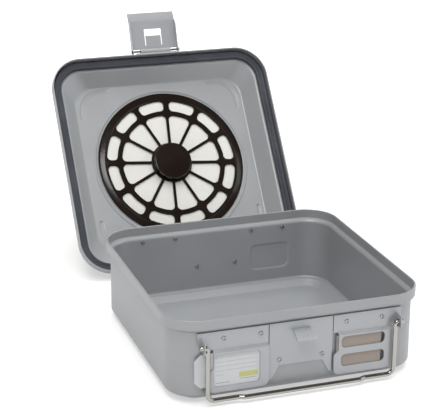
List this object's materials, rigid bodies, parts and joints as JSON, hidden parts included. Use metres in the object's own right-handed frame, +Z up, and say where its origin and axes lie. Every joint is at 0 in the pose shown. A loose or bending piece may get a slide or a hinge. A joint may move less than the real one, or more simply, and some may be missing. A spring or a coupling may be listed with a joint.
{
  "type": "sterilization container",
  "caption": "Half-size rigid sterilization container for surgical instruments, open, with its lid taken off and stood behind the base, latches, wire handles and card holders.",
  "frame": {"origin": "centre of the flat underside of the base's stepped foot", "axes": "+X to the right seen from the front, -Y towards the front with the label, +Z up"},
  "size_m": [0.285, 0.5557, 0.2835],
  "materials": {
    "anodised_shell": "satin anodised",
    "fitting_sheet": "satin",
    "polished_steel": "polished",
    "rivet_steel": "satin",
    "gasket_silicone": "matte",
    "retainer_black": "gloss",
    "filter_paper": "matte",
    "label_card": "matte",
    "indicator_card": "matte"
  },
  "bodies": {
    "base": {"base_shell": "anodised_shell", "front_left_holder": "fitting_sheet", "front_right_holder": "fitting_sheet", "front_catch_plate": "fitting_sheet", "front_rivet_1": "rivet_steel", "front_rivet_2": "rivet_steel", "front_rivet_3": "rivet_steel", "front_rivet_4": "rivet_steel", "front_rivet_5": "rivet_steel", "front_rivet_6": "rivet_steel", "rear_left_holder": "fitting_sheet", "rear_right_holder": "fitting_sheet", "rear_catch_plate": "fitting_sheet", "rear_rivet_1": "rivet_steel", "rear_rivet_2": "rivet_steel", "rear_rivet_3": "rivet_steel", "rear_rivet_4": "rivet_steel", "rear_rivet_5": "rivet_steel", "rear_rivet_6": "rivet_steel"},
    "front_bail": {"front_handle": "polished_steel"},
    "rear_bail": {"rear_handle": "polished_steel"},
    "label": {"label_card": "label_card"},
    "indicator": {"indicator_card": "indicator_card"},
    "lid": {"lid_shell": "anodised_shell", "lid_gasket": "gasket_silicone", "filter_paper": "filter_paper", "lid_stud": "polished_steel", "front_latch_bracket": "fitting_sheet", "front_latch_pin": "polished_steel", "front_latch_rivet_1": "rivet_steel", "front_latch_rivet_2": "rivet_steel", "rear_latch_bracket": "fitting_sheet", "rear_latch_pin": "polished_steel", "rear_latch_rivet_1": "rivet_steel", "rear_latch_rivet_2": "rivet_steel"},
    "retainer": {"retainer_plate": "retainer_black", "button_spring": "polished_steel"},
    "button": {"retainer_button": "retainer_black"},
    "front_catch": {"front_latch": "fitting_sheet"},
    "rear_catch": {"rear_latch": "fitting_sheet"}
  },
  "joints": [
    {"name": "front_handle_swing", "type": "hinge", "parent": "base", "child": "front_bail", "pos_m": [0, -0.14075, 0.0653], "axis": [-1, 0, 0], "range_deg": [0, 90]},
    {"name": "rear_handle_swing", "type": "hinge", "parent": "base", "child": "rear_bail", "pos_m": [0, 0.14075, 0.0653], "axis": [1, 0, 0], "range_deg": [0, 90]},
    {"name": "label_card_slide", "type": "slide", "parent": "base", "child": "label", "axis": [-1, 0, 0], "range_m": [0, 0.055]},
    {"name": "indicator_card_slide", "type": "slide", "parent": "base", "child": "indicator", "axis": [-1, 0, 0], "range_m": [0, 0.052]},
    {"name": "lid_lift", "type": "slide", "parent": "base", "child": "lid", "axis": [0, 0, 1], "range_m": [0, 0.3]},
    {"name": "front_latch_swing", "type": "hinge", "parent": "lid", "child": "front_catch", "pos_m": [0.0015, 0.37922, 0.23875], "axis": [1, 0, 0], "range_deg": [0, 75]},
    {"name": "rear_latch_swing", "type": "hinge", "parent": "lid", "child": "rear_catch", "pos_m": [0.0015, 0.20522, 0.0055], "axis": [-1, 0, 0], "range_deg": [-41.3, 33.7]},
    {"name": "retainer_release", "type": "slide", "parent": "lid", "child": "retainer", "axis": [0, -0.8016, 0.5979], "range_m": [0, 0.045]},
    {"name": "button_press", "type": "slide", "parent": "retainer", "child": "button", "axis": [0, -0.8016, 0.5979], "range_m": [-0.003, 0], "stiffness_N_per_m": 50, "springref_m": 0.0008, "deforming": ["button_spring"]}
  ]
}
